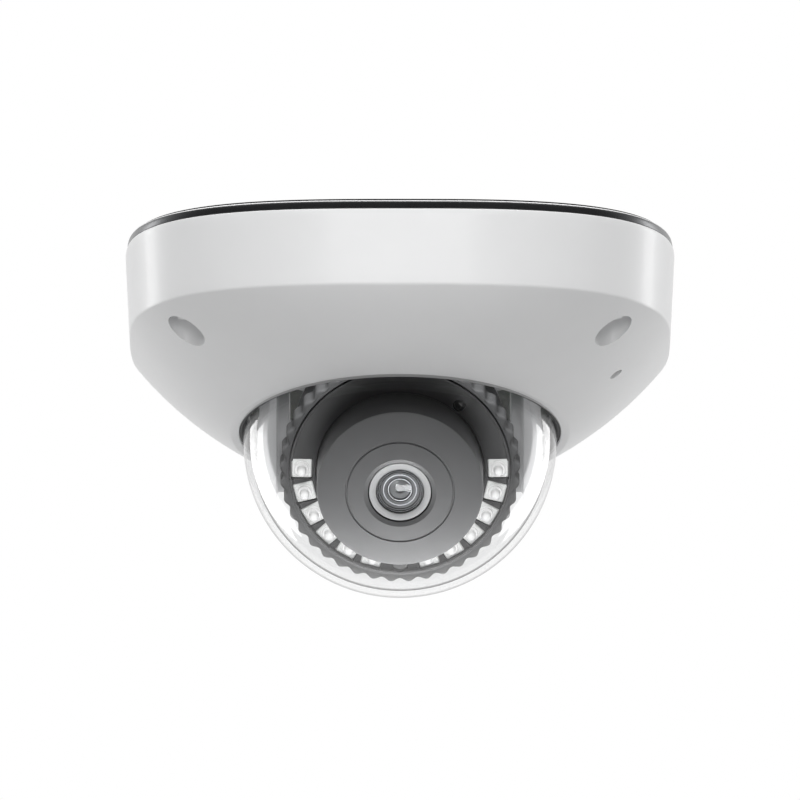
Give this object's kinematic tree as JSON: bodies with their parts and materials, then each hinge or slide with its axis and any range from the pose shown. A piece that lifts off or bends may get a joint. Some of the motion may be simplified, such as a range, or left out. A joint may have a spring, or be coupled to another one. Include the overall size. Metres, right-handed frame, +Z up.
{
  "type": "dome security camera",
  "caption": "Ceiling dome camera: rounded-square cast cover, forward-leaning clear bubble, and a pan, tilt and roll lens unit with infrared lamps.",
  "frame": {"origin": "centre of the flat face that meets the ceiling", "axes": "+Z points up into the ceiling, the camera hangs below it and its front is -Y"},
  "size_m": [0.11, 0.11, 0.0699],
  "materials": {
    "white_paint": "satin powder coat",
    "base_metal": "satin grey coating",
    "black_rubber": "matte",
    "pad_foam": "matte closed-cell foam",
    "clear_bubble": "clear polished polycarbonate",
    "dark_plastic": "fine matte",
    "grey_plastic": "fine matte",
    "lamp_mask": "fine matte",
    "zinc_steel": "satin",
    "board_resist": "green solder resist",
    "white_resist": "white solder resist",
    "chip_black": "moulded epoxy",
    "socket_ivory": "moulded nylon",
    "thermal_pad": "soft matte",
    "bright_metal": "satin",
    "lens_black": "black anodised",
    "lens_glass": "coated polished glass",
    "lamp_white": "white package with clear lens"
  },
  "bodies": {
    "housing": {"ceiling_pad": "pad_foam", "base_plate": "base_metal", "base_seal": "black_rubber", "cable_gland": "black_rubber", "cover_shell": "white_paint", "cover_screws": "zinc_steel", "screw_o_rings": "black_rubber", "dome_bubble": "clear_bubble", "dome_seal": "black_rubber", "dome_clamp": "dark_plastic", "clamp_screws": "zinc_steel", "microphone": "bright_metal", "mic_boot": "black_rubber", "main_board": "board_resist", "board_screws": "zinc_steel", "processor": "chip_black", "heat_pad": "thermal_pad", "card_slot": "bright_metal", "cable_header": "socket_ivory", "main_flex_socket": "socket_ivory", "capacitors": "bright_metal", "reset_switch": "bright_metal", "pan_base": "dark_plastic", "pan_base_screws": "zinc_steel", "pan_retainer": "dark_plastic", "retainer_screws": "zinc_steel"},
    "reset_key": {"reset_button": "chip_black"},
    "turntable": {"yoke": "grey_plastic", "tilt_pivots": "zinc_steel", "tilt_washers": "zinc_steel"},
    "tilter": {"tilt_holder": "dark_plastic"},
    "lens_unit": {"module_drum": "dark_plastic", "drum_clip": "zinc_steel", "drum_screws": "zinc_steel", "grip_ring": "grey_plastic", "lamp_board": "white_resist", "lamps": "lamp_white", "lamp_cover": "lamp_mask", "light_sensor": "chip_black", "status_window": "grey_plastic", "nose_cap": "grey_plastic", "lens_barrel": "lens_black", "lens_trim": "bright_metal", "front_glass": "lens_glass", "filter_case": "dark_plastic", "image_sensor": "chip_black", "sensor_board": "board_resist", "sensor_screws": "zinc_steel", "sensor_flex_socket": "socket_ivory"},
    "filter_switcher": {"filter_slide": "socket_ivory", "cut_filter": "lens_glass", "clear_filter": "lens_glass"}
  },
  "joints": [
    {"name": "pan", "type": "hinge", "parent": "housing", "child": "turntable", "pos_m": [0, 0, -0.03855], "axis": [0, 0, 1], "range_deg": [-177, 177]},
    {"name": "tilt", "type": "hinge", "parent": "turntable", "child": "tilter", "pos_m": [0, 0, -0.03855], "axis": [1, 0, 0], "range_deg": [-34, 56]},
    {"name": "roll", "type": "hinge", "parent": "tilter", "child": "lens_unit", "pos_m": [0, 0, -0.03855], "axis": [0, -0.829, -0.5592], "range_deg": [-177, 177]},
    {"name": "filter_switch", "type": "slide", "parent": "lens_unit", "child": "filter_switcher", "axis": [1, 0, 0], "range_m": [0, 0.0064]},
    {"name": "reset_press", "type": "slide", "parent": "housing", "child": "reset_key", "axis": [0, 0, 1], "range_m": [0, 0.00025], "stiffness_N_per_m": 2000}
  ]
}
